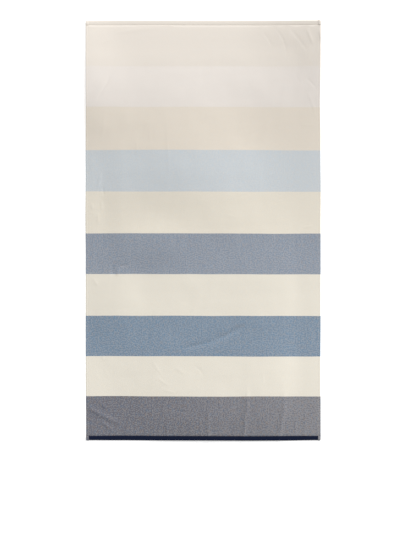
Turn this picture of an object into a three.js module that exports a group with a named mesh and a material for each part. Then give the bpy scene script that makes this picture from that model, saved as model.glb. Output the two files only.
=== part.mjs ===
// A bath towel lying flat, face up: one length of woven cotton with its four hems folded from it.
// Millimetres, +Z up. The width runs along X and the length along Y, and the surface is at z = 0.

import * as THREE from 'three';

// The towel as it lies, fold to fold
const WIDTH = 1000;
const LENGTH = 1788;

// The cloth and its hems: the long sides are turned to the back, the short ends to the front
const CLOTH = 1.2;
const LAYER_GAP = 0.2;
const SIDE_HEM = 11.5;
const END_HEM = 19.5;
const CORNER_RADIUS = 5;

// The cloth climbs gently onto each turned side strip over this width, just inside the strip
const SIDE_CLIMB = 120;
const CLIMB_CLEARANCE = 1;

// Beside each end hem the cloth climbs half the height of the strip turned onto it, and drops back
// beneath the strip's cut end, so that the seam shares the step between the two sides
const END_CLIMB = 110;
const END_DROP = 4;

// How finely the sheet is divided
const CELLS_ACROSS = 19;
const CELLS_ALONG = 39;
const TURN_STEPS = 4;

// Where the cloth swells off the surface. x and y are the middle of a swell, along and across are
// half its length and width, turn is the angle of its length from +X in degrees, rise is its height,
// and crown is 2 for a round top and more for a flatter one.
const SWELLS = [
  { name: 'shoulder', x: -20, y: 290, along: 490, across: 380, turn: -60, rise: 18, crown: 2 },
  { name: 'shoulder skirt', x: -300, y: 240, along: 500, across: 400, turn: -60, rise: 11, crown: 2 },
  { name: 'upper left', x: -560, y: 640, along: 430, across: 330, turn: -60, rise: 10, crown: 2 },
  { name: 'top roll', x: -50, y: 560, along: 800, across: 300, turn: 0, rise: 7, crown: 2 },
  { name: 'lower field', x: 30, y: -400, along: 680, across: 580, turn: 94, rise: 12, crown: 3 },
  { name: 'left roll', x: -230, y: -60, along: 330, across: 170, turn: 3, rise: 7, crown: 2 },
  { name: 'left run', x: -370, y: -300, along: 360, across: 170, turn: 85, rise: 6, crown: 2 },
  { name: 'right run', x: 320, y: -220, along: 450, across: 270, turn: 70, rise: 6, crown: 2 },
  { name: 'middle run', x: 150, y: -500, along: 400, across: 290, turn: 68, rise: 4, crown: 2 },
  { name: 'low right', x: 300, y: -720, along: 350, across: 220, turn: 80, rise: 6, crown: 2 },
  { name: 'bottom roll', x: -20, y: -800, along: 470, across: 300, turn: 0, rise: 6.5, crown: 2 },
];

// Where the swells settle towards the surface at an edge. at is the middle of the stretch that
// settles, reach is half its length, width is how far in from the edge the settling starts, and share
// is how much of the height is left at the edge.
const SETTLING = [
  { edge: 'left', at: 130, reach: 500, width: 160, share: 0 },
  { edge: 'left', at: -400, reach: 400, width: 60, share: 0.7 },
  { edge: 'right', at: -500, reach: 900, width: 170, share: 0.25 },
  { edge: 'bottom', at: 0, reach: 2000, width: 90, share: 0.75 },
];

// One corner curls up off the surface, and doesn't settle
const CURL = { name: 'top right', x: 620, y: 980, along: 560, across: 540, turn: -50, rise: 24, crown: 2 };

// Where an edge wanders from its straight line. at is the place along that edge, reach is half the
// stretch it covers, and out is how far the edge moves, away from the middle of the towel.
const WANDERS = [
  { edge: 'left', at: 60, reach: 190, out: 1.2 },
  { edge: 'left', at: -830, reach: 240, out: -1.8 },
  { edge: 'left', at: 480, reach: 160, out: -0.8 },
  { edge: 'right', at: 535, reach: 150, out: -2 },
  { edge: 'right', at: 160, reach: 170, out: 1.2 },
  { edge: 'right', at: -560, reach: 210, out: -1 },
  { edge: 'top', at: -240, reach: 260, out: 0.9 },
  { edge: 'top', at: 330, reach: 190, out: -0.9 },
  { edge: 'bottom', at: 210, reach: 280, out: 0.9 },
  { edge: 'bottom', at: -330, reach: 200, out: -0.9 },
];
const WANDER_DEPTH = 260;

const HALF_WIDTH = WIDTH / 2;
const HALF_LENGTH = LENGTH / 2;
const LAYER_STEP = CLOTH + LAYER_GAP;

// 0 at or below 0, 1 at or above 1, and a smooth climb between
function smooth(t) {
  return THREE.MathUtils.smoothstep(t, 0, 1);
}

// 1 at the middle of a mound and 0 from its foot outwards
function mound(reach, crown) {
  return reach < 1 ? (1 - reach ** crown) ** 3 : 0;
}

function swellHeight(swell, x, y) {
  const turn = THREE.MathUtils.degToRad(swell.turn);
  const dx = x - swell.x;
  const dy = y - swell.y;
  const u = (dx * Math.cos(turn) + dy * Math.sin(turn)) / swell.along;
  const v = (dy * Math.cos(turn) - dx * Math.sin(turn)) / swell.across;
  return swell.rise * mound(Math.hypot(u, v), swell.crown);
}

function onSide(edge) {
  return edge === 'left' || edge === 'right';
}

// How far inside an edge the point at x, y is
function edgeDepth(edge, x, y) {
  if (edge === 'left') return HALF_WIDTH + x;
  if (edge === 'right') return HALF_WIDTH - x;
  if (edge === 'top') return HALF_LENGTH - y;
  return HALF_LENGTH + y;
}

function clothHeight(x, y) {
  let height = 0;
  for (const swell of SWELLS) height += swellHeight(swell, x, y);
  for (const { edge, at, reach, width, share } of SETTLING) {
    const place = onSide(edge) ? y : x;
    const lost = (1 - share) * mound(Math.abs(place - at) / reach, 2);
    height *= 1 - lost * (1 - smooth(edgeDepth(edge, x, y) / width));
  }
  return height + swellHeight(CURL, x, y);
}

// How far the point at x, y is moved in the plane by the edges' wandering
function wander(x, y) {
  const shift = { x: 0, y: 0 };
  for (const { edge, at, reach, out } of WANDERS) {
    const sign = edge === 'right' || edge === 'top' ? 1 : -1;
    const place = onSide(edge) ? y : x;
    const inside = smooth(edgeDepth(edge, x, y) / WANDER_DEPTH);
    shift[onSide(edge) ? 'x' : 'y'] += sign * out * mound(Math.abs(place - at) / reach, 2) * (1 - inside);
  }
  return shift;
}

// How far the cloth is held up by the turned side strip, at this distance from the middle line
function sideLift(across) {
  const foot = HALF_WIDTH - SIDE_HEM - CLIMB_CLEARANCE - SIDE_CLIMB;
  return LAYER_STEP * smooth((across - foot) / SIDE_CLIMB);
}

// How far the cloth stands up beside an end hem, at this distance along from the middle line
function endLift(along) {
  const brink = HALF_LENGTH - END_HEM - END_DROP;
  const climb = smooth((along - brink + END_CLIMB) / END_CLIMB);
  const drop = smooth((along - brink) / END_DROP);
  return (LAYER_STEP / 2) * (climb - drop);
}

// How far a corner is rounded off the end edge, at this distance from the middle line
function cornerDrop(across) {
  const into = Math.min(CORNER_RADIUS, Math.max(0, across - (HALF_WIDTH - CORNER_RADIUS)));
  return CORNER_RADIUS - Math.sqrt(CORNER_RADIUS ** 2 - into ** 2);
}

// The stations of one edge, from its cut end round the turn to the face. reach is the distance from
// the middle line, held back to the fold line where it passes that, and turned is the angle that the
// cloth has been folded through.
function hemStations(edge, hem) {
  const stations = [
    { reach: edge - hem, turned: Math.PI },
    { reach: edge - hem / 2, turned: Math.PI },
  ];
  for (let step = 0; step <= TURN_STEPS; step += 1) {
    stations.push({ reach: edge, turned: Math.PI * (1 - step / TURN_STEPS) });
  }
  return stations;
}

// All stations from one edge to the other; inner are the extra places just inside each hem
function sheetStations(edge, hem, inner, cells) {
  const hemmed = [...hemStations(edge, hem), ...inner.map((reach) => ({ reach, turned: 0 }))];
  const low = hemmed.map((station) => ({ ...station, side: -1 }));
  const high = hemmed.map((station) => ({ ...station, side: 1 })).reverse();
  const last = inner[inner.length - 1];
  const face = [];
  for (let cell = 1; cell < cells; cell += 1) {
    const place = THREE.MathUtils.lerp(-last, last, cell / cells);
    face.push({ reach: Math.abs(place), turned: 0, side: Math.sign(place) || 1 });
  }
  return [...low, ...face, ...high];
}

// A point of the folded towel. depth is 0 on the cloth's back and CLOTH on its face.
function towelPoint(column, row, depth) {
  const sideRadius = LAYER_GAP / 2 + depth;
  const sideReach = Math.min(column.reach, HALF_WIDTH - CLOTH - LAYER_GAP / 2);
  const across = sideReach + sideRadius * Math.sin(column.turned);
  const lift = column.turned > 0 ? LAYER_STEP : sideLift(column.reach);
  const level = lift - LAYER_GAP / 2 + sideRadius * Math.cos(column.turned);

  const pivot = CLOTH + lift + LAYER_GAP / 2;
  const endRadius = pivot - level;
  const endReach = Math.min(row.reach, HALF_LENGTH - cornerDrop(across) - pivot);
  const along = endReach + endRadius * Math.sin(row.turned);

  const x = column.side * across;
  const y = row.side * along;
  const z = pivot - endRadius * Math.cos(row.turned) + endLift(row.reach) + clothHeight(x, y);
  const shift = wander(x, y);
  return [x + shift.x, y + shift.y, z];
}

function towelGeometry() {
  const sideBrink = HALF_WIDTH - SIDE_HEM - CLIMB_CLEARANCE;
  const besideStrips = [
    HALF_WIDTH - CORNER_RADIUS,
    sideBrink,
    sideBrink - SIDE_CLIMB / 4,
    sideBrink - SIDE_CLIMB / 2,
    sideBrink - (SIDE_CLIMB * 3) / 4,
    sideBrink - SIDE_CLIMB,
  ];
  const endBrink = HALF_LENGTH - END_HEM - END_DROP;
  const besideEnds = [
    HALF_LENGTH - END_HEM,
    endBrink + END_DROP / 2,
    endBrink,
    endBrink - END_CLIMB / 3,
  ];
  const columns = sheetStations(HALF_WIDTH, SIDE_HEM, besideStrips, CELLS_ACROSS);
  const rows = sheetStations(HALF_LENGTH, END_HEM, besideEnds, CELLS_ALONG);

  const positions = [];
  const faces = [];
  const layer = columns.length * rows.length;
  for (const depth of [0, CLOTH]) {
    for (const row of rows) {
      for (const column of columns) positions.push(...towelPoint(column, row, depth));
    }
  }
  const back = (i, j) => j * columns.length + i;
  const face = (i, j) => layer + back(i, j);
  const quad = (a, b, c, d) => faces.push(a, b, c, a, c, d);
  const lastColumn = columns.length - 1;
  const lastRow = rows.length - 1;
  for (let j = 0; j < lastRow; j += 1) {
    for (let i = 0; i < lastColumn; i += 1) {
      quad(face(i, j), face(i + 1, j), face(i + 1, j + 1), face(i, j + 1));
      quad(back(i, j), back(i, j + 1), back(i + 1, j + 1), back(i + 1, j));
    }
    quad(back(0, j), face(0, j), face(0, j + 1), back(0, j + 1));
    quad(back(lastColumn, j), back(lastColumn, j + 1), face(lastColumn, j + 1), face(lastColumn, j));
  }
  for (let i = 0; i < lastColumn; i += 1) {
    quad(back(i, 0), back(i + 1, 0), face(i + 1, 0), face(i, 0));
    quad(back(i, lastRow), face(i, lastRow), face(i + 1, lastRow), back(i + 1, lastRow));
  }

  const geometry = new THREE.BufferGeometry();
  geometry.setAttribute('position', new THREE.Float32BufferAttribute(positions, 3));
  geometry.setIndex(faces);
  geometry.computeVertexNormals();
  return geometry;
}

const cotton = new THREE.MeshStandardMaterial({ color: 0xe4ddd0, roughness: 0.95, metalness: 0 });

const towel = new THREE.Mesh(towelGeometry(), cotton);
towel.name = 'towel';

const bathTowel = new THREE.Group();
bathTowel.add(towel);

export default bathTowel;
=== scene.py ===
import math

import bmesh
import bpy
import numpy as np
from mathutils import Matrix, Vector


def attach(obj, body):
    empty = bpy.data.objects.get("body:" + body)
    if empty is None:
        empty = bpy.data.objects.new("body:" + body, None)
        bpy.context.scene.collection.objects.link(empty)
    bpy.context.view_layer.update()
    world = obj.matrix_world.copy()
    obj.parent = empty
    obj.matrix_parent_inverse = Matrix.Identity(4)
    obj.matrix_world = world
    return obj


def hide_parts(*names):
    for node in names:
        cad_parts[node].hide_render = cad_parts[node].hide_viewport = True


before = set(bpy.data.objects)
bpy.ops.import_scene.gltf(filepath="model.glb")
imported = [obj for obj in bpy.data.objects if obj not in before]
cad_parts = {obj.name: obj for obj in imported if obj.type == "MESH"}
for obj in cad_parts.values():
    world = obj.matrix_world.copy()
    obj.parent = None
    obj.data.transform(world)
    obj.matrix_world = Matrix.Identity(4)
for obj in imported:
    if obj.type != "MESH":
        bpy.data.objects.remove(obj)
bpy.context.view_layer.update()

# The camera
# The photograph looks straight down on the towel, with no keystone: a long lens hung high above it.
# A pixel there is about 4.26 mm of towel, and the towel lies above the middle of the picture.
PHOTO_PX = (405, 540)
TOWEL_MIDDLE_PX = (203.25, 230.45)
TOWEL_WIDTH_PX = 234.9
TOWEL_WIDTH = 1.0
METRES_PER_PX = TOWEL_WIDTH / TOWEL_WIDTH_PX
CAMERA_HEIGHT = 7.0
CAMERA_SEES_TO = 100.0
SENSOR_MM = 36.0

camera_data = bpy.data.cameras.new("camera")
camera_data.sensor_width = SENSOR_MM
camera_data.lens = SENSOR_MM * CAMERA_HEIGHT / (PHOTO_PX[1] * METRES_PER_PX)
camera_data.clip_end = CAMERA_SEES_TO
camera = bpy.data.objects.new("camera", camera_data)
bpy.context.scene.collection.objects.link(camera)
camera.location = (
    (PHOTO_PX[0] / 2 - TOWEL_MIDDLE_PX[0]) * METRES_PER_PX,
    (TOWEL_MIDDLE_PX[1] - PHOTO_PX[1] / 2) * METRES_PER_PX,
    CAMERA_HEIGHT,
)
bpy.context.scene.camera = camera
bpy.context.scene.view_settings.view_transform = "Standard"

# The surface under the towel
# A plain white studio floor, lit so evenly that it comes out as the photograph's clean white.
# It is far wider than the towel, so that only a very low view sees the sky beyond it.
FLOOR_HALF = 60.0
FLOOR_COLOUR = (0.9, 0.9, 0.9, 1.0)
FLOOR_GLOW = 0.5


def add_node(tree, kind, inputs=None, **settings):
    """A new node, with its settings, and its inputs set to a value or linked to a socket."""
    made = tree.nodes.new(kind)
    for name, value in settings.items():
        setattr(made, name, value)
    for key, value in (inputs or {}).items():
        if isinstance(value, bpy.types.NodeSocket):
            tree.links.new(value, made.inputs[key])
        else:
            made.inputs[key].default_value = value
    return made


def new_material(name):
    """A material holding only its output, and its node tree."""
    made = bpy.data.materials.new(name)
    made.use_nodes = True
    made.node_tree.nodes.clear()
    return made, made.node_tree


def make_floor():
    """One square of studio floor, which gives off a little light of its own."""
    corners = [(x * FLOOR_HALF, y * FLOOR_HALF, 0.0) for x, y in ((-1, -1), (1, -1), (1, 1), (-1, 1))]
    mesh = bpy.data.meshes.new("floor")
    mesh.from_pydata(corners, [], [(0, 1, 2, 3)])
    material, tree = new_material("studio floor")
    shader = add_node(tree, "ShaderNodeBsdfPrincipled", {
        "Base Color": FLOOR_COLOUR,
        "Roughness": 0.9,
        "Specular IOR Level": 0.1,
        "Emission Color": (1.0, 1.0, 1.0, 1.0),
        "Emission Strength": FLOOR_GLOW,
    })
    add_node(tree, "ShaderNodeOutputMaterial", {"Surface": shader.outputs["BSDF"]})
    mesh.materials.append(material)
    floor = bpy.data.objects.new("floor", mesh)
    bpy.context.scene.collection.objects.link(floor)
    return floor


floor = make_floor()

# The light
# One broad soft light stands low at the top right, so that the cloth's slight swells show, and an
# even pale sky fills the rest. The towel's own shadow is faint, at its left and bottom edges.
KEY_TOWARDS = (0.6, 0.8)
KEY_ELEVATION_DEGREES = 24.0
KEY_STRENGTH = 4.5
KEY_SPREAD_DEGREES = 40.0
SKY_STRENGTH = 0.42


def make_light():
    """A low sun, which shines from the side named in KEY_TOWARDS, and the sky."""
    low = math.radians(KEY_ELEVATION_DEGREES)
    towards = Vector((KEY_TOWARDS[0] * math.cos(low), KEY_TOWARDS[1] * math.cos(low), math.sin(low)))
    key_data = bpy.data.lights.new("key", "SUN")
    key_data.energy = KEY_STRENGTH
    key_data.angle = math.radians(KEY_SPREAD_DEGREES)
    key = bpy.data.objects.new("key", key_data)
    key.rotation_mode = "QUATERNION"
    key.rotation_quaternion = (-towards).to_track_quat("-Z", "Y")
    bpy.context.scene.collection.objects.link(key)

    sky = bpy.data.worlds.new("sky")
    sky.use_nodes = True
    background = sky.node_tree.nodes["Background"]
    background.inputs["Color"].default_value = (1.0, 1.0, 1.0, 1.0)
    background.inputs["Strength"].default_value = SKY_STRENGTH
    bpy.context.scene.world = sky


make_light()

# The towel
# One length of woven cotton in ten broad weft stripes, some of plain yarn and some of flecked
# mixture. Its long sides are turned to the back and its ends to the front, so that the ends show the
# cloth's back: navy at the bottom, beige at the top. It lies face up, in slight swells and creases.
TOWEL_LENGTH = 1.788
CLOTH = 0.0012
LAYER_GAP = 0.0002
SIDE_HEM = 0.0115
END_HEM = 0.0195
CORNER_RADIUS = 0.005

# The cloth climbs onto the side strips turned under it, and rises beside the end strips turned over
# it: the length of each climb and of the drop behind it, and the share of a layer's height it rises
SIDE_CLIMB = 0.12
CLIMB_CLEARANCE = 0.001
END_CLIMB = 0.11
END_DROP = 0.002
TOP_LIFT = 0.75
BOTTOM_LIFT = 0.5

# How far in from the edges the seams run, and how much they draw the layers together
SIDE_SEAM = 0.0101
END_SEAM = 0.017
SEAM_HALF_WIDTH = 0.0016
SEAM_SQUEEZE = 0.12

# The sheet's mesh: its cells, the steps round a turned edge, and where a cut end is rounded, as
# shares of half the cloth's thickness, with the share of the thickness that is left at the very end
CELL = 0.0098
TURN_STEPS = 6
CUT_END_STEPS = (0.0, 0.12, 0.45)
CUT_END_SHARE = 0.2

HALF_WIDTH = TOWEL_WIDTH / 2
HALF_LENGTH = TOWEL_LENGTH / 2
LAYER_STEP = CLOTH + LAYER_GAP
SIDE_BRINK = HALF_WIDTH - SIDE_HEM - CLIMB_CLEARANCE
END_BRINK = HALF_LENGTH - END_HEM - END_DROP

# Swells, with half their length and width, the angle of their length from +X, their height, and
# crown, which is 2 for a round top and more for a flatter one
SWELLS = [
    dict(name="shoulder", x=-0.02, y=0.29, along=0.49, across=0.38, turn=-60, rise=0.018, crown=2),
    dict(name="skirt", x=-0.3, y=0.24, along=0.5, across=0.4, turn=-60, rise=0.011, crown=2),
    dict(name="upper left", x=-0.56, y=0.64, along=0.43, across=0.33, turn=-60, rise=0.010, crown=2),
    dict(name="top roll", x=-0.05, y=0.56, along=0.8, across=0.3, turn=0, rise=0.007, crown=2),
    dict(name="lower field", x=0.03, y=-0.4, along=0.68, across=0.58, turn=94, rise=0.012, crown=3),
    dict(name="left roll", x=-0.23, y=-0.06, along=0.33, across=0.17, turn=3, rise=0.007, crown=2),
    dict(name="left run", x=-0.37, y=-0.3, along=0.36, across=0.17, turn=85, rise=0.006, crown=2),
    dict(name="right run", x=0.32, y=-0.22, along=0.45, across=0.27, turn=70, rise=0.006, crown=2),
    dict(name="middle run", x=0.15, y=-0.5, along=0.4, across=0.29, turn=68, rise=0.004, crown=2),
    dict(name="low right", x=0.3, y=-0.72, along=0.35, across=0.22, turn=80, rise=0.006, crown=2),
    dict(name="bottom roll", x=-0.02, y=-0.8, along=0.47, across=0.3, turn=0, rise=0.0065, crown=2),
]
CURL = dict(name="top right", x=0.62, y=0.98, along=0.56, across=0.54, turn=-50, rise=0.024, crown=2)

# Where the swells settle towards the surface at an edge: the middle and half the length of that
# stretch, how far in from the edge it starts, and the share of the height that is left at the edge
SETTLING = [
    dict(edge="left", at=0.13, reach=0.5, width=0.16, share=0.0),
    dict(edge="left", at=-0.4, reach=0.4, width=0.06, share=0.7),
    dict(edge="right", at=-0.5, reach=0.9, width=0.17, share=0.25),
    dict(edge="bottom", at=0.0, reach=2.0, width=0.09, share=0.75),
]

# Where an edge wanders outwards or inwards from its straight line
WANDERS = [
    dict(edge="left", at=0.06, reach=0.19, out=0.0012),
    dict(edge="left", at=-0.83, reach=0.24, out=-0.0018),
    dict(edge="left", at=0.48, reach=0.16, out=-0.0008),
    dict(edge="right", at=0.535, reach=0.15, out=-0.002),
    dict(edge="right", at=0.16, reach=0.17, out=0.0012),
    dict(edge="right", at=-0.56, reach=0.21, out=-0.001),
    dict(edge="top", at=-0.24, reach=0.26, out=0.0009),
    dict(edge="top", at=0.33, reach=0.19, out=-0.0009),
    dict(edge="bottom", at=0.21, reach=0.28, out=0.0009),
    dict(edge="bottom", at=-0.33, reach=0.2, out=-0.0009),
]
WANDER_DEPTH = 0.26

# Creases, from start to end: bow is how far the middle stands to the left of the straight way there,
# width is how far from the crest the height has fallen to about a third, and rise is the height of a
# ridge, or less than 0 for a trough. A crease fades in and out over the share CREASE_FADE of its length.
CREASES = [
    dict(name="fan 1", start=(0.249, 0.847), end=(0.295, 0.770), bow=0.007, width=0.005, rise=-0.0002),
    dict(name="fan 2", start=(0.298, 0.869), end=(0.355, 0.722), bow=0.018, width=0.005, rise=-0.00025),
    dict(name="fan 3", start=(0.359, 0.869), end=(0.452, 0.752), bow=0.002, width=0.007, rise=-0.0003),
    dict(name="fan 4", start=(0.437, 0.866), end=(0.471, 0.781), width=0.007, rise=0.0005),
    dict(name="fan 5", start=(0.490, 0.863), end=(0.503, 0.802), width=0.007, rise=0.0007),
    dict(name="fan 6", start=(0.391, 0.667), end=(0.414, 0.621), width=0.004, rise=-0.00012),
    dict(name="fan 7", start=(0.434, 0.653), end=(0.489, 0.595), bow=0.002, width=0.005, rise=-0.00028),
    dict(name="fan 8", start=(0.437, 0.600), end=(0.483, 0.467), bow=0.008, width=0.005, rise=0.00022),
    dict(name="right end", start=(0.410, 0.450), end=(0.483, 0.448), width=0.004, rise=0.00015),
    dict(
        name="right slant", start=(0.160, 0.371), end=(0.246, 0.426), bow=0.009,
        width=0.005, rise=-0.00016,
    ),
    dict(name="top left dash", start=(-0.446, 0.793), end=(-0.366, 0.826), width=0.005, rise=0.00015),
    dict(name="left slant", start=(-0.383, 0.673), end=(-0.459, 0.543), width=0.006, rise=-0.0008),
    dict(
        name="left slant below", start=(-0.418, 0.526), end=(-0.436, 0.355), bow=0.002,
        width=0.008, rise=0.00025,
    ),
    dict(name="upright ripple 1", start=(-0.159, 0.526), end=(-0.144, 0.183), width=0.006, rise=0.0002),
    dict(name="upright ripple 2", start=(-0.285, 0.398), end=(-0.281, 0.302), width=0.005, rise=0.00025),
    dict(name="upright ripple 3", start=(-0.228, 0.451), end=(-0.223, 0.334), width=0.005, rise=0.00012),
    dict(name="left crumple 1", start=(-0.433, 0.249), end=(-0.451, 0.170), width=0.006, rise=0.0006),
    dict(name="left crumple 2", start=(-0.429, 0.193), end=(-0.422, 0.143), width=0.005, rise=-0.0005),
    dict(name="left crumple 3", start=(-0.431, 0.132), end=(-0.433, 0.079), width=0.005, rise=0.0004),
    dict(name="left crumple 4", start=(-0.448, 0.079), end=(-0.446, 0.023), width=0.006, rise=0.0004),
    dict(name="left crumple 5", start=(-0.473, 0.118), end=(-0.471, 0.087), width=0.005, rise=0.0004),
    dict(name="left arc 1", start=(-0.390, -0.191), end=(-0.381, -0.147), width=0.006, rise=-0.001),
    dict(name="left arc 2", start=(-0.368, -0.196), end=(-0.359, -0.160), width=0.006, rise=0.001),
    dict(name="left arc 3", start=(-0.381, -0.137), end=(-0.338, -0.122), width=0.005, rise=0.0006),
    dict(name="left arc 4", start=(-0.363, -0.156), end=(-0.317, -0.143), width=0.005, rise=-0.0009),
    dict(name="left edge 1", start=(-0.474, -0.195), end=(-0.445, -0.243), width=0.006, rise=0.0004),
    dict(name="left edge 2", start=(-0.467, -0.011), end=(-0.468, -0.200), width=0.005, rise=0.0003),
    dict(name="level dash 1", start=(-0.244, -0.176), end=(-0.183, -0.178), width=0.004, rise=0.0003),
    dict(name="level line 1", start=(0.123, 0.134), end=(0.201, 0.156), width=0.005, rise=-0.00015),
    dict(name="level line 2", start=(0.319, 0.123), end=(0.358, 0.148), width=0.005, rise=-0.00015),
    dict(name="level line 3", start=(0.095, 0.061), end=(0.156, 0.060), width=0.004, rise=0.00012),
    dict(name="level dash 2", start=(0.420, 0.011), end=(0.473, 0.020), width=0.004, rise=0.00025),
    dict(name="right fine 4", start=(0.257, 0.218), end=(0.319, 0.257), width=0.004, rise=0.00015),
    dict(
        name="short 1", start=(-0.223, -0.535), end=(-0.164, -0.623), bow=-0.007,
        width=0.005, rise=0.0002,
    ),
    dict(
        name="short 2", start=(-0.201, -0.620), end=(-0.137, -0.663), bow=-0.004,
        width=0.005, rise=0.00025,
    ),
    dict(name="short 3", start=(-0.175, -0.676), end=(-0.111, -0.692), width=0.004, rise=0.0002),
    dict(
        name="short 4", start=(-0.120, -0.580), end=(-0.071, -0.612), bow=-0.003,
        width=0.007, rise=0.0003,
    ),
    dict(name="left short 1", start=(-0.427, -0.524), end=(-0.425, -0.556), width=0.005, rise=0.00035),
    dict(name="left short 2", start=(-0.425, -0.575), end=(-0.398, -0.641), width=0.005, rise=0.00015),
    dict(name="left short 3", start=(-0.462, -0.602), end=(-0.441, -0.639), width=0.005, rise=0.0001),
    dict(
        name="corner ridge 1", start=(-0.520, -0.735), end=(-0.330, -0.835), bow=-0.005,
        width=0.010, rise=0.0018,
    ),
    dict(name="corner ridge 2", start=(-0.457, -0.719), end=(-0.409, -0.761), width=0.006, rise=0.001),
    dict(name="corner ridge 3", start=(-0.446, -0.804), end=(-0.377, -0.862), width=0.008, rise=0.0014),
    dict(name="end slant", start=(-0.132, -0.760), end=(-0.052, -0.780), width=0.005, rise=-0.0006),
    dict(name="end upright 1", start=(-0.209, -0.820), end=(-0.209, -0.920), width=0.005, rise=0.0006),
    dict(name="end upright 2", start=(-0.155, -0.798), end=(-0.153, -0.920), width=0.005, rise=0.0008),
    dict(
        name="main crease 1", start=(-0.107, -0.506), end=(0.072, -0.463), bow=-0.002,
        width=0.009, rise=-0.0014,
    ),
    dict(
        name="main crease 2", start=(0.027, -0.478), end=(0.190, -0.393), bow=-0.004,
        width=0.012, rise=-0.0024,
    ),
    dict(
        name="short 5", start=(-0.048, -0.573), end=(0.004, -0.634), bow=0.012,
        width=0.005, rise=-0.00025,
    ),
    dict(name="upright 1", start=(0.254, -0.592), end=(0.255, -0.671), width=0.004, rise=0.00018),
    dict(name="end upright 3", start=(0.019, -0.721), end=(0.023, -0.940), width=0.006, rise=0.0011),
    dict(
        name="end upright 4", start=(0.190, -0.648), end=(0.156, -0.960), bow=0.006,
        width=0.009, rise=0.0019,
    ),
    dict(
        name="end upright 5", start=(0.348, -0.665), end=(0.292, -0.960), bow=0.013,
        width=0.011, rise=0.0022,
    ),
    dict(name="top left", start=(-0.393, 0.833), end=(-0.157, 0.861), bow=0.007, width=0.009, rise=0.0003),
    dict(name="right fine 1", start=(0.251, 0.196), end=(0.304, 0.261), width=0.004, rise=0.00015),
    dict(name="right fine 2", start=(0.287, 0.184), end=(0.346, 0.255), width=0.004, rise=0.00015),
    dict(name="right fine 3", start=(0.346, 0.208), end=(0.395, 0.270), width=0.004, rise=0.00015),
    dict(name="end upright 6", start=(0.398, -0.745), end=(0.388, -0.920), width=0.006, rise=0.0006),
    dict(name="end upright 7", start=(0.436, -0.734), end=(0.429, -0.920), width=0.006, rise=0.0006),
    dict(name="boundary dip 1", start=(-0.400, 0.700), end=(0.440, 0.698), width=0.022, rise=-0.00045),
    dict(name="left edge rise", start=(-0.462, 0.360), end=(-0.462, -0.060), width=0.028, rise=0.0008),
    dict(name="right edge rise", start=(0.455, 0.060), end=(0.455, -0.960), width=0.045, rise=0.0013),
]
CREASE_FADE = 0.35

# Each quad of the face is divided in four near a narrow crease, and once more right beside it. The
# broad creases, wider than NARROW_CREASE, show well enough on the undivided cells.
CREASE_REACHES = (0.014, 0.008)
NARROW_CREASE = 0.012

# A faint unevenness of the cloth, as a sum of shallow waves that run every way, which is full where
# the swells are at least UNEVEN_FULL_AT high
UNEVEN_SEED = 4
UNEVEN_WAVES = 28
UNEVEN_LENGTHS = (0.04, 0.15)
UNEVEN_RISE = 0.00012
UNEVEN_FULL_AT = 0.003


def smooth(t):
    """0 up to t = 0, 1 from t = 1, and an even S between them."""
    t = np.clip(t, 0.0, 1.0)
    return t * t * (3.0 - 2.0 * t)


def mound(reach, crown):
    """1 at the middle of a mound and 0 from its foot outwards."""
    return np.clip(1.0 - np.abs(reach) ** crown, 0.0, None) ** 3


def swell_height(swell, x, y):
    """How high one swell lifts the cloth."""
    turn = math.radians(swell["turn"])
    dx, dy = x - swell["x"], y - swell["y"]
    u = (dx * math.cos(turn) + dy * math.sin(turn)) / swell["along"]
    v = (dy * math.cos(turn) - dx * math.sin(turn)) / swell["across"]
    return swell["rise"] * mound(np.hypot(u, v), swell["crown"])


def edge_depth(edge, x, y):
    """How far inside an edge each point is."""
    return {
        "left": HALF_WIDTH + x,
        "right": HALF_WIDTH - x,
        "top": HALF_LENGTH - y,
        "bottom": HALF_LENGTH + y,
    }[edge]


def crease_place(crease, x, y):
    """Where each point is along a crease, from 0 to 1, and how far it is to its left."""
    (x0, y0), (x1, y1) = crease["start"], crease["end"]
    length = math.hypot(x1 - x0, y1 - y0)
    cx, cy = (x1 - x0) / length, (y1 - y0) / length
    t = np.clip(((x - x0) * cx + (y - y0) * cy) / length, 0.0, 1.0)
    aside = (y - y0) * cx - (x - x0) * cy - crease.get("bow", 0.0) * 4.0 * t * (1.0 - t)
    return t, aside


def crease_height(crease, x, y):
    """How high one crease lifts the cloth, or how far it sinks it."""
    t, aside = crease_place(crease, x, y)
    ends = smooth(t / CREASE_FADE) * smooth((1.0 - t) / CREASE_FADE)
    return crease["rise"] * ends * np.exp(-((aside / crease["width"]) ** 2))


def unevenness(x, y):
    """The height of the shallow waves, above or below the swells."""
    chance = np.random.default_rng(UNEVEN_SEED)
    total = np.zeros_like(x)
    for _ in range(UNEVEN_WAVES):
        turn = chance.uniform(0.0, math.pi)
        phase = chance.uniform(0.0, 2 * math.pi)
        length = chance.uniform(*UNEVEN_LENGTHS)
        total += np.sin(2 * math.pi * (x * math.cos(turn) + y * math.sin(turn)) / length + phase)
    return UNEVEN_RISE * total / math.sqrt(UNEVEN_WAVES / 2)


def cloth_height(x, y):
    """How high the cloth's underside is above the surface at x, y."""
    height = sum(swell_height(swell, x, y) for swell in SWELLS)
    for row in SETTLING:
        place = y if row["edge"] in ("left", "right") else x
        lost = (1.0 - row["share"]) * mound((place - row["at"]) / row["reach"], 2)
        height = height * (1.0 - lost * (1.0 - smooth(edge_depth(row["edge"], x, y) / row["width"])))
    height = height + swell_height(CURL, x, y)
    height = height + unevenness(x, y) * smooth(height / UNEVEN_FULL_AT)
    height = height + sum(crease_height(crease, x, y) for crease in CREASES)
    return np.maximum(height, 0.0)


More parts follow.
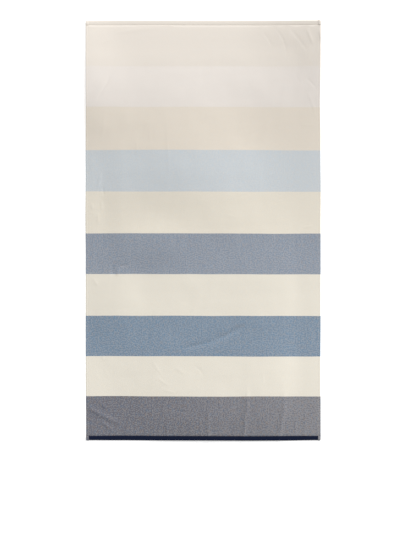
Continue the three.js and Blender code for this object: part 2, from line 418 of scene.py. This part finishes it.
def wander(x, y):
    """How far each point is moved in the plane by the edges' wandering."""
    shift = {"x": np.zeros_like(x), "y": np.zeros_like(x)}
    for row in WANDERS:
        on_side = row["edge"] in ("left", "right")
        sign = 1.0 if row["edge"] in ("right", "top") else -1.0
        place = y if on_side else x
        inside = smooth(edge_depth(row["edge"], x, y) / WANDER_DEPTH)
        share = mound((place - row["at"]) / row["reach"], 2) * (1.0 - inside)
        shift["x" if on_side else "y"] += sign * row["out"] * share
    return shift["x"], shift["y"]


def side_lift(across):
    """How far the cloth is held up by the turned side strip, this far from the middle line."""
    return LAYER_STEP * smooth((across - SIDE_BRINK + SIDE_CLIMB) / SIDE_CLIMB)


def end_lift(sign, along):
    """How far the cloth stands up beside an end hem, this far along from the middle line."""
    climb = smooth((along - END_BRINK + END_CLIMB) / END_CLIMB)
    drop = smooth((along - END_BRINK) / END_DROP)
    return LAYER_STEP * np.where(sign > 0.0, TOP_LIFT, BOTTOM_LIFT) * (climb - drop)


def corner_drop(across):
    """How far a corner is rounded off the end edge, this far from the middle line."""
    into = np.clip(across - (HALF_WIDTH - CORNER_RADIUS), 0.0, CORNER_RADIUS)
    return CORNER_RADIUS - np.sqrt(CORNER_RADIUS**2 - into**2)


def seam_squeeze(across, along):
    """How much the hems' layers are drawn together by their seams, as a share of their height."""
    from_side = np.abs(across - (HALF_WIDTH - SIDE_SEAM))
    from_end = np.abs(along - (HALF_LENGTH - END_SEAM))
    away = np.minimum(from_side, from_end) / SEAM_HALF_WIDTH
    return SEAM_SQUEEZE * np.clip(1.0 - away**2, 0.0, None) ** 2


def hem_stations(edge, hem, seam, inner):
    """The stations of one edge, from its cut end round the turn to the face: the distance from the
    middle line, held back to the fold line where it passes that, the angle that the cloth has been
    folded through, and the share of its thickness, which rounds the cut end."""
    nose = CLOTH / 2
    stations = []
    for into in CUT_END_STEPS:
        share = math.sqrt(1.0 - (1.0 - into) ** 2) if into else CUT_END_SHARE
        stations.append((edge - hem + into * nose, math.pi, share))
    beside_seam = [edge - seam + part * SEAM_HALF_WIDTH for part in (-1.0, -0.5, 0.0, 0.5, 1.0)]
    under = [edge - hem + nose] + [place for place in beside_seam if place > edge - hem + nose]
    under.append((under[-1] + edge) / 2)
    stations += [(place, math.pi, 1.0) for place in under]
    stations += [(edge, math.pi * (1.0 - step / TURN_STEPS), 1.0) for step in range(TURN_STEPS + 1)]
    stations += [(place, 0.0, 1.0) for place in sorted(beside_seam + inner, reverse=True)]
    return stations


def sheet_stations(edge, hem, seam, inner):
    """All stations from one edge to the other, as arrays of side, reach, turned and share."""
    hemmed = hem_stations(edge, hem, seam, inner)
    last = hemmed[-1][0]
    cells = round(2 * last / CELL)
    rows = [(-1.0, *station) for station in hemmed]
    for cell in range(1, cells):
        place = -last + 2 * last * cell / cells
        rows.append((math.copysign(1.0, place), abs(place), 0.0, 1.0))
    rows += [(1.0, *station) for station in reversed(hemmed)]
    return np.array(rows).T


def hemmed_points(columns, rows, level):
    """Points of the towel, hemmed but quite flat, at each row and column of stations. level is 0 on
    the cloth's back and 1 on its face."""
    side_sign, side_reach, side_turn, side_share = (part[None, :] for part in columns)
    end_sign, end_reach, end_turn, end_share = (part[:, None] for part in rows)
    depth = CLOTH * (0.5 + (level - 0.5) * np.minimum(side_share, end_share))

    side_radius = LAYER_GAP / 2 + depth
    across = np.minimum(side_reach, HALF_WIDTH - CLOTH - LAYER_GAP / 2) + side_radius * np.sin(side_turn)
    lift = np.where(side_turn > 0.0, LAYER_STEP, side_lift(side_reach))
    height = lift - LAYER_GAP / 2 + side_radius * np.cos(side_turn)

    pivot = CLOTH + lift + LAYER_GAP / 2
    end_radius = pivot - height
    reach = np.minimum(end_reach, HALF_LENGTH - corner_drop(across) - pivot)
    along = reach + end_radius * np.sin(end_turn)
    height = pivot - end_radius * np.cos(end_turn) + end_lift(end_sign, end_reach)

    hemmed = end_reach > HALF_LENGTH - END_HEM - SEAM_HALF_WIDTH
    middle = np.where(hemmed, pivot, (CLOTH + lift) / 2)
    height = middle + (height - middle) * (1.0 - seam_squeeze(across, along))

    return np.stack([side_sign * across, end_sign * along, height], axis=-1)


def laid(points):
    """Points of the flat towel as they lie, in its swells and creases."""
    x, y, height = points[..., 0], points[..., 1], points[..., 2]
    dx, dy = wander(x, y)
    return np.stack([x + dx, y + dy, height + cloth_height(x, y)], axis=-1)


def grid_faces(across, along, start, flip):
    """The quads of a grid of points, across by along, whose first point has the index start."""
    first = start + np.arange(along - 1)[:, None] * across + np.arange(across - 1)[None, :]
    quads = np.stack([first, first + 1, first + across + 1, first + across], axis=-1).reshape(-1, 4)
    return quads[:, ::-1] if flip else quads


def by_a_crease(x, y, reach):
    """Which points lie within this reach of a crease."""
    found = np.zeros(x.shape, dtype=bool)
    for crease in CREASES:
        if crease["width"] > NARROW_CREASE:
            continue
        t, aside = crease_place(crease, x, y)
        dx = x - (crease["start"][0] + t * (crease["end"][0] - crease["start"][0]))
        dy = y - (crease["start"][1] + t * (crease["end"][1] - crease["start"][1]))
        bend = abs(crease.get("bow", 0.0))
        found |= (np.abs(aside) < reach) & (np.hypot(dx, dy) < reach + bend)
    return found


def divide_by_creases(mesh):
    """Divides the face of the cloth more finely where the creases run."""
    work = bmesh.new()
    work.from_mesh(mesh)
    for reach in CREASE_REACHES:
        work.normal_update()
        upper = [face for face in work.faces if face.material_index == 0 and face.normal.z > 0.5]
        middles = np.array([face.calc_center_median() for face in upper])
        near = by_a_crease(middles[:, 0], middles[:, 1], reach)
        edges = {edge for face, wanted in zip(upper, near) if wanted for edge in face.edges}
        ordered = sorted(edges, key=lambda edge: edge.index)
        bmesh.ops.subdivide_edges(work, edges=ordered, cuts=1, use_grid_fill=True, use_single_edge=True)
        work.edges.index_update()
    work.to_mesh(mesh)
    work.free()


def make_towel(face_material, back_material):
    """The towel as one closed mesh: hemmed first, then divided by its creases, and laid down last."""
    inner_side = [HALF_WIDTH - CORNER_RADIUS, SIDE_BRINK]
    inner_end = [END_BRINK + END_DROP * part for part in (0.0, 0.25, 0.5, 0.75, 1.0)]
    inner_end.append(HALF_LENGTH - END_SEAM / 2)
    columns = sheet_stations(HALF_WIDTH, SIDE_HEM, SIDE_SEAM, inner_side)
    rows = sheet_stations(HALF_LENGTH, END_HEM, END_SEAM, inner_end)
    across, along = columns.shape[1], rows.shape[1]
    layer = across * along
    points = np.concatenate([hemmed_points(columns, rows, level).reshape(-1, 3) for level in (0.0, 1.0)])

    back = grid_faces(across, along, 0, True)
    face = grid_faces(across, along, layer, False)
    grid = np.arange(layer).reshape(along, across)
    rims = []
    for edge in (grid[0, :], grid[:, -1], grid[-1, ::-1], grid[::-1, 0]):
        rims.append(np.stack([edge[:-1], edge[1:], edge[1:] + layer, edge[:-1] + layer], axis=-1))
    rim = np.concatenate(rims)
    quads = np.concatenate([face, back, rim])

    mesh = bpy.data.meshes.new("towel")
    mesh.from_pydata(points.tolist(), [], quads.tolist())
    mesh.materials.append(face_material)
    mesh.materials.append(back_material)
    slots = np.ones(len(quads), dtype=np.int32)
    slots[: len(face)] = 0
    mesh.polygons.foreach_set("material_index", slots)
    divide_by_creases(mesh)
    points = np.empty(3 * len(mesh.vertices), dtype=np.float32)
    mesh.vertices.foreach_get("co", points)
    mesh.vertices.foreach_set("co", laid(points.reshape(-1, 3).astype(float)).ravel().astype(np.float32))
    mesh.shade_smooth()
    mesh.update()
    towel = bpy.data.objects.new("towel_cloth", mesh)
    bpy.context.scene.collection.objects.link(towel)
    return towel


def srgb(red, green, blue):
    """A colour in 0 to 255 as linear light."""
    parts = [part / 255 for part in (red, green, blue)]
    return [p / 12.92 if p <= 0.04045 else ((p + 0.055) / 1.055) ** 2.4 for p in parts]


# The stripes from the top end down, with each one's height and its colours on the face and back.
# mix is how much the undyed yarn stands out in it, and drift how much more of it shows to the right, which
# is partly a paler mixture there and partly painted shade.
# The last number is painted shade: how much darker the stripe is made at its lower side than at its upper
# side.
STRIPES = [
    dict(
        name="rosy beige", height=0.1957, face=(236, 228, 218), back=(233, 225, 215),
        mix=0.04, drift=0.0, painted_shade=0.1,
    ),
    dict(
        name="off white", height=0.1734, face=(229, 222, 215), back=(232, 225, 219),
        mix=0.03, drift=0.0, painted_shade=0.065,
    ),
    dict(
        name="warm beige", height=0.1832, face=(224, 215, 202), back=(217, 207, 190),
        mix=0.04, drift=0.0, painted_shade=-0.012,
    ),
    dict(
        name="pale blue", height=0.1767, face=(202, 207, 210), back=(178, 190, 200),
        mix=0.07, drift=0.0, painted_shade=-0.01,
    ),
    dict(
        name="cream", height=0.178, face=(228, 221, 207), back=(223, 216, 202),
        mix=0.04, drift=0.0, painted_shade=-0.01,
    ),
    dict(
        name="blue grey", height=0.1731, face=(148, 155, 166), back=(84, 96, 122),
        mix=0.09, drift=-0.3, painted_shade=-0.03,
    ),
    dict(
        name="cream", height=0.1771, face=(231, 225, 212), back=(228, 222, 210),
        mix=0.04, drift=0.0, painted_shade=-0.025,
    ),
    dict(
        name="denim", height=0.172, face=(135, 150, 166), back=(60, 84, 112),
        mix=0.1, drift=0.08, painted_shade=-0.02,
    ),
    dict(
        name="cream", height=0.1705, face=(234, 228, 215), back=(229, 223, 211),
        mix=0.04, drift=0.0, painted_shade=0.015,
    ),
    dict(
        name="charcoal", height=0.1883, face=(128, 128, 134), back=(6, 21, 48),
        mix=0.1, drift=0.7, painted_shade=0.03,
    ),
]
UNDYED = (244, 240, 232)
BACK_MIX = 0.02

# The lines between the stripes fall by this share of the way from left to right, and wander a little
STRIPE_SLANT = 0.0014
STRIPE_WANDER = 0.004
STRIPE_WANDER_SIZE = 0.2


def weft_stripe_group():
    """Which stripe a point lies in, as a value from 0 at the top end to 1 at the bottom end, and how
    far down in that stripe it is, from 0 to 1."""
    group = bpy.data.node_groups.new("weft stripe", "ShaderNodeTree")
    group.interface.new_socket("Place", in_out="INPUT", socket_type="NodeSocketVector")
    group.interface.new_socket("Stripe", in_out="OUTPUT", socket_type="NodeSocketFloat")
    group.interface.new_socket("Down", in_out="OUTPUT", socket_type="NodeSocketFloat")
    place = add_node(group, "NodeGroupInput").outputs["Place"]
    split = add_node(group, "ShaderNodeSeparateXYZ", {"Vector": place})
    bend = add_node(group, "ShaderNodeTexNoise", {
        "Vector": place, "Scale": 1 / STRIPE_WANDER_SIZE, "Detail": 1.0, "Roughness": 0.4,
    })
    centred = add_node(group, "ShaderNodeMath", {0: bend.outputs["Fac"], 1: 0.5}, operation="SUBTRACT")
    bent = add_node(group, "ShaderNodeMath", {
        0: centred.outputs[0], 1: STRIPE_WANDER, 2: split.outputs["Y"],
    }, operation="MULTIPLY_ADD")
    slanted = add_node(group, "ShaderNodeMath", {
        0: split.outputs["X"], 1: STRIPE_SLANT, 2: bent.outputs[0],
    }, operation="MULTIPLY_ADD")

    # The count starts half a step in, so that it falls in the middle of a colour's stretch of a ramp
    change = HALF_LENGTH
    count = 0.5
    start = HALF_LENGTH
    height = STRIPES[0]["height"]
    for stripe, after in zip(STRIPES, STRIPES[1:]):
        change -= stripe["height"]
        below = add_node(group, "ShaderNodeMath", {
            0: slanted.outputs[0], 1: change,
        }, operation="LESS_THAN").outputs[0]
        count = add_node(group, "ShaderNodeMath", {0: below, 1: count}).outputs[0]
        start = add_node(group, "ShaderNodeMath", {
            0: below, 1: -stripe["height"], 2: start,
        }, operation="MULTIPLY_ADD").outputs[0]
        height = add_node(group, "ShaderNodeMath", {
            0: below, 1: after["height"] - stripe["height"], 2: height,
        }, operation="MULTIPLY_ADD").outputs[0]
    share = add_node(group, "ShaderNodeMath", {0: count, 1: len(STRIPES)}, operation="DIVIDE")
    passed = add_node(group, "ShaderNodeMath", {0: start, 1: slanted.outputs[0]}, operation="SUBTRACT")
    down = add_node(group, "ShaderNodeMath", {
        0: passed.outputs[0], 1: height,
    }, operation="DIVIDE", use_clamp=True)
    add_node(group, "NodeGroupOutput", {"Stripe": share.outputs[0], "Down": down.outputs[0]})
    return group


# The grains of the mixtures: how strong they are, and their size across and along the towel
FLECKS = (4.0, 0.0052, 0.0042)
CLOUDS = (0.7, 0.009, 0.009)
STREAKS = (0.7, 0.007, 0.1)
TINT_SIZE = (0.0026, 0.018)


def stretched_noise(group, place, across, along):
    """Soft noise, centred on 0, whose grains are this long across the towel and along it."""
    stretched = add_node(group, "ShaderNodeVectorMath", {
        0: place, 1: (1 / across, 1 / along, 0.0),
    }, operation="MULTIPLY")
    noise = add_node(group, "ShaderNodeTexNoise", {
        "Vector": stretched.outputs["Vector"], "Scale": 1.0, "Detail": 1.0, "Roughness": 0.5,
    })
    centred = add_node(group, "ShaderNodeMath", {0: noise.outputs["Fac"], 1: 0.5}, operation="SUBTRACT")
    return centred.outputs[0]


def yarn_fleck_group():
    """How much undyed yarn shows at each point, from 0 to 1, in flecks as long as a float, clouds of
    them, and faint streaks along the warp. Tint says which of the two dyed yarns is the stronger."""
    group = bpy.data.node_groups.new("yarn flecks", "ShaderNodeTree")
    group.interface.new_socket("Place", in_out="INPUT", socket_type="NodeSocketVector")
    group.interface.new_socket("Drift", in_out="INPUT", socket_type="NodeSocketFloat")
    group.interface.new_socket("Fleck", in_out="OUTPUT", socket_type="NodeSocketFloat")
    group.interface.new_socket("Tint", in_out="OUTPUT", socket_type="NodeSocketFloat")
    inputs = add_node(group, "NodeGroupInput")
    place = inputs.outputs["Place"]
    share = 0.5
    for strength, across, along in (FLECKS, CLOUDS, STREAKS):
        noise = stretched_noise(group, place, across, along)
        share = add_node(group, "ShaderNodeMath", {
            0: noise, 1: strength, 2: share,
        }, operation="MULTIPLY_ADD").outputs[0]
    # Drift lets more undyed yarn show towards the right, which is partly a paler mixture there and partly
    # painted shade
    to_right = add_node(group, "ShaderNodeSeparateXYZ", {"Vector": place}).outputs["X"]
    share = add_node(group, "ShaderNodeMath", {
        0: to_right, 1: inputs.outputs["Drift"], 2: share,
    }, operation="MULTIPLY_ADD", use_clamp=True).outputs[0]
    tint = stretched_noise(group, place, *TINT_SIZE)
    add_node(group, "NodeGroupOutput", {"Fleck": share, "Tint": tint})
    return group


# RIB_SHARE is how strong the weave's slanting ribs are beside the picks, and RIB_RUN how many of them
# pass in one yarn pitch across. Below HOLLOW_FROM, where 0 is mid height, the weave counts as hollow.
YARN_PITCH = 0.0011
YARN_HEIGHT = 0.00005
RIB_SHARE = 0.6
RIB_RUN = 0.5
HOLLOW_FROM = 0.2
NAP_SIZE = 0.0006
NAP_HEIGHT = 0.00003
COCKLE_SIZE = 0.014
COCKLE_HEIGHT = 0.00012


def weave_relief_group():
    """The height of the cloth's surface, in metres: rounded floats in a broken twill, a short nap and
    a faint cockling. Hollow is 1 between the yarns."""
    group = bpy.data.node_groups.new("weave relief", "ShaderNodeTree")
    group.interface.new_socket("Place", in_out="INPUT", socket_type="NodeSocketVector")
    group.interface.new_socket("Height", in_out="OUTPUT", socket_type="NodeSocketFloat")
    group.interface.new_socket("Hollow", in_out="OUTPUT", socket_type="NodeSocketFloat")
    place = add_node(group, "NodeGroupInput").outputs["Place"]
    split = add_node(group, "ShaderNodeSeparateXYZ", {"Vector": place})
    warp, weft = (
        add_node(group, "ShaderNodeMath", {
            0: split.outputs[axis], 1: 2 * math.pi * steps / YARN_PITCH,
        }, operation="MULTIPLY").outputs[0]
        for axis, steps in (("X", RIB_RUN), ("Y", 1.0))
    )
    slant = add_node(group, "ShaderNodeMath", {0: warp, 1: weft}, operation="ADD")
    rib = add_node(group, "ShaderNodeMath", {0: slant.outputs[0]}, operation="SINE")
    pick = add_node(group, "ShaderNodeMath", {0: weft}, operation="SINE")
    yarns = add_node(group, "ShaderNodeMath", {
        0: rib.outputs[0], 1: RIB_SHARE, 2: pick.outputs[0],
    }, operation="MULTIPLY_ADD")
    height = add_node(group, "ShaderNodeMath", {
        0: yarns.outputs[0], 1: YARN_HEIGHT / (2 + 2 * RIB_SHARE),
    }, operation="MULTIPLY").outputs[0]
    for size, rise in ((NAP_SIZE, NAP_HEIGHT), (COCKLE_SIZE, COCKLE_HEIGHT)):
        noise = add_node(group, "ShaderNodeTexNoise", {
            "Vector": place, "Scale": 1 / size, "Detail": 2.0, "Roughness": 0.5,
        })
        height = add_node(group, "ShaderNodeMath", {
            0: noise.outputs["Fac"], 1: rise, 2: height,
        }, operation="MULTIPLY_ADD").outputs[0]
    hollow = add_node(group, "ShaderNodeMapRange", {
        "Value": yarns.outputs[0], "From Min": HOLLOW_FROM, "From Max": -(1 + RIB_SHARE),
    })
    add_node(group, "NodeGroupOutput", {"Height": height, "Hollow": hollow.outputs["Result"]})
    return group


def stripe_ramp(tree, stripe, colours):
    """A colour for each stripe, or a number for each as a grey."""
    made = add_node(tree, "ShaderNodeValToRGB", {"Fac": stripe})
    ramp = made.color_ramp
    ramp.interpolation = "CONSTANT"
    for index, colour in enumerate(colours):
        start = index / len(colours)
        stop = ramp.elements[index] if index < 2 else ramp.elements.new(start)
        stop.position = start
        stop.color = (*colour, 1.0)
    return made.outputs["Color"]


# HOLLOW_SHADE is painted shade: how much darker the colour is made in the hollows between the yarns
HOLLOW_SHADE = 0.16
TINT_STRENGTH = 1.4
TINT_GREEN = 0.1
DARKEST = 0.002
ROUGH_DYED = 0.86
ROUGH_UNDYED = 0.96

# The colour sockets of a Mix node go by number, since those for plain numbers have the same names
MIX_FIRST, MIX_SECOND, MIX_RESULT = 6, 7, 2

weft_stripe = weft_stripe_group()
yarn_flecks = yarn_fleck_group()
weave_relief = weave_relief_group()


def cloth_material(name, side, mix_share):
    """The woven cotton, in the stripes' colours of its face or its back."""
    material, tree = new_material(name)
    place = add_node(tree, "ShaderNodeTexCoord").outputs["Object"]
    weft = add_node(tree, "ShaderNodeGroup", node_tree=weft_stripe)
    tree.links.new(place, weft.inputs["Place"])
    stripe, down = weft.outputs["Stripe"], weft.outputs["Down"]
    # drift lightens a mixture towards the right: partly a paler mixture there, partly painted shade
    drift = stripe_ramp(tree, stripe, [[row["drift"] * mix_share] * 3 for row in STRIPES])
    flecks = add_node(tree, "ShaderNodeGroup", node_tree=yarn_flecks)
    tree.links.new(place, flecks.inputs["Place"])
    tree.links.new(drift, flecks.inputs["Drift"])
    weave = add_node(tree, "ShaderNodeGroup", node_tree=weave_relief)
    tree.links.new(place, weave.inputs["Place"])

    dyed, pale = [], []
    for row in STRIPES:
        for colours, sign in ((dyed, -1.0), (pale, 1.0)):
            share = sign * row["mix"] * mix_share
            pairs = zip(srgb(*row[side]), srgb(*UNDYED))
            colours.append([max(c + share * (undyed - c), DARKEST) for c, undyed in pairs])
    yarns = add_node(tree, "ShaderNodeMix", {
        0: flecks.outputs["Fleck"],
        MIX_FIRST: stripe_ramp(tree, stripe, dyed),
        MIX_SECOND: stripe_ramp(tree, stripe, pale),
    }, data_type="RGBA")

    # The two dyed yarns of a mixture differ a little, one bluer and one warmer
    tints = [row["mix"] * TINT_STRENGTH * mix_share for row in STRIPES]
    warmer = stripe_ramp(tree, stripe, [[t, TINT_GREEN * t, 0.0] for t in tints])
    bluer = stripe_ramp(tree, stripe, [[0.0, TINT_GREEN * t, t] for t in tints])
    lean = add_node(tree, "ShaderNodeVectorMath", {0: bluer, 1: warmer}, operation="SUBTRACT")
    lean = add_node(tree, "ShaderNodeVectorMath", {
        0: lean.outputs["Vector"], "Scale": flecks.outputs["Tint"],
    }, operation="SCALE")
    tinted = add_node(tree, "ShaderNodeVectorMath", {
        0: yarns.outputs[MIX_RESULT], 1: lean.outputs["Vector"],
    }, operation="ADD")

    # Painted shade in the hollows between the yarns, and painted shade that makes a stripe a little darker
    # towards one side
    shade = add_node(tree, "ShaderNodeMapRange", {
        "Value": weave.outputs["Hollow"], "To Min": 1.0, "To Max": 1.0 - HOLLOW_SHADE,
    })
    painted_shade = add_node(tree, "ShaderNodeMapRange", {
        "Value": down,
        "To Min": stripe_ramp(tree, stripe, [[1.0 + row["painted_shade"] / 2] * 3 for row in STRIPES]),
        "To Max": stripe_ramp(tree, stripe, [[1.0 - row["painted_shade"] / 2] * 3 for row in STRIPES]),
    })
    shade = add_node(tree, "ShaderNodeMath", {
        0: shade.outputs["Result"], 1: painted_shade.outputs["Result"],
    }, operation="MULTIPLY")
    shaded = add_node(tree, "ShaderNodeVectorMath", {
        0: tinted.outputs["Vector"], "Scale": shade.outputs[0],
    }, operation="SCALE")
    bump = add_node(tree, "ShaderNodeBump", {
        "Height": weave.outputs["Height"], "Strength": 1.0, "Distance": 1.0,
    })
    rough = add_node(tree, "ShaderNodeMapRange", {
        "Value": flecks.outputs["Fleck"], "To Min": ROUGH_DYED, "To Max": ROUGH_UNDYED,
    })
    shader = add_node(tree, "ShaderNodeBsdfPrincipled", {
        "Base Color": shaded.outputs["Vector"],
        "Roughness": rough.outputs["Result"],
        "Specular IOR Level": 0.14,
        "Sheen Weight": 0.04,
        "Sheen Roughness": 0.6,
        "Normal": bump.outputs["Normal"],
    })
    add_node(tree, "ShaderNodeOutputMaterial", {"Surface": shader.outputs["BSDF"]})
    return material


towel = make_towel(
    cloth_material("cotton face", "face", 1.0),
    cloth_material("cotton back", "back", BACK_MIX),
)
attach(towel, "root")
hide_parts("towel")

# The sewing
# One row of lockstitches holds each hem: short arched stitches of cotton thread, drawn down into the
# cloth on both faces. The thread is cream along the sides and the top, and navy at the bottom end.
STITCH_PITCH = 0.0033
STITCH_LENGTH = 0.0027
THREAD_RADIUS = 0.00016
THREAD_END_SHARE = 0.55
STITCH_ARCH = 0.00006
UNSEWN_END = 0.004
RINGS = 4
RING_POINTS = 5
CREAM_THREAD = (232, 226, 213)
NAVY_THREAD = (36, 44, 66)


def seam_rings(reach, sewn_to, on_side, sign, turned, level, out):
    """Rings of points round every stitch of one seam, as an array of stitches, rings and points. reach
    is how far the seam is from the middle line and sewn_to where it ends, turned and level are the
    layer and the side of it that the stitches lie on, and out is 1 on top of it and -1 under it."""
    count = int(2 * sewn_to / STITCH_PITCH)
    part = np.linspace(0.0, 1.0, RINGS)
    starts = (np.arange(count) - (count - 1) / 2) * STITCH_PITCH
    places = (starts[:, None] + (part[None, :] - 0.5) * STITCH_LENGTH).ravel()
    run = np.array([np.sign(places), np.abs(places), np.zeros_like(places), np.ones_like(places)])
    seam = np.array([[sign], [reach], [turned], [1.0]])
    if on_side:
        line = laid(hemmed_points(seam, run, level))[:, 0, :]
    else:
        line = laid(hemmed_points(run, seam, level))[0, :, :]
    line = line.reshape(count, RINGS, 3)
    arch = np.sin(math.pi * part)
    line[:, :, 2] += out * STITCH_ARCH * (arch - 0.5)[None, :]
    angle = 2 * math.pi * np.arange(RING_POINTS) / RING_POINTS
    radius = THREAD_RADIUS * (THREAD_END_SHARE + (1.0 - THREAD_END_SHARE) * arch)[None, :, None]
    aside = np.zeros((count, RINGS, RING_POINTS, 3))
    aside[..., 0 if on_side else 1] = radius * np.cos(angle)
    aside[..., 2] = radius * np.sin(angle)
    return line[:, :, None, :] + aside


def make_stitching(name, seams, colour):
    """All the stitches of some seams, joined in one mesh."""
    rings = np.concatenate([seam_rings(**seam) for seam in seams])
    count = len(rings)
    first = np.arange(count)[:, None, None] * RINGS * RING_POINTS
    ring = np.arange(RINGS - 1)[None, :, None] * RING_POINTS
    spoke = np.arange(RING_POINTS)[None, None, :]
    after = (spoke + 1) % RING_POINTS
    near, far = first + ring, first + ring + RING_POINTS
    sides = np.stack([near + spoke, near + after, far + after, far + spoke], axis=-1).reshape(-1, 4)
    loop = first[:, 0, :] + np.arange(RING_POINTS)[None, :]
    last = loop + (RINGS - 1) * RING_POINTS
    faces = sides.tolist() + loop[:, ::-1].tolist() + last.tolist()
    mesh = bpy.data.meshes.new(name)
    mesh.from_pydata(rings.reshape(-1, 3).tolist(), [], faces)
    mesh.shade_smooth()
    material, tree = new_material(name)
    shader = add_node(tree, "ShaderNodeBsdfPrincipled", {
        "Base Color": (*srgb(*colour), 1.0),
        "Roughness": 0.7,
        "Specular IOR Level": 0.35,
    })
    add_node(tree, "ShaderNodeOutputMaterial", {"Surface": shader.outputs["BSDF"]})
    mesh.materials.append(material)
    made = bpy.data.objects.new(name, mesh)
    bpy.context.scene.collection.objects.link(made)
    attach(made, "root")
    return made


def seam(on_side, sign, turned, level, out):
    """One row of stitches on one face of one hem."""
    reach = HALF_WIDTH - SIDE_SEAM if on_side else HALF_LENGTH - END_SEAM
    sewn_to = (HALF_LENGTH if on_side else HALF_WIDTH) - UNSEWN_END
    return dict(
        reach=reach, sewn_to=sewn_to, on_side=on_side, sign=sign, turned=turned, level=level, out=out,
    )


pale_seams = [seam(True, side, 0.0, 1.0, 1.0) for side in (-1.0, 1.0)]
pale_seams += [seam(True, side, math.pi, 1.0, -1.0) for side in (-1.0, 1.0)]
pale_seams += [seam(False, 1.0, math.pi, 0.0, 1.0), seam(False, 1.0, 0.0, 0.0, -1.0)]
dark_seams = [seam(False, -1.0, math.pi, 0.0, 1.0), seam(False, -1.0, 0.0, 0.0, -1.0)]
pale_stitching = make_stitching("pale_stitching", pale_seams, CREAM_THREAD)
dark_stitching = make_stitching("dark_stitching", dark_seams, NAVY_THREAD)
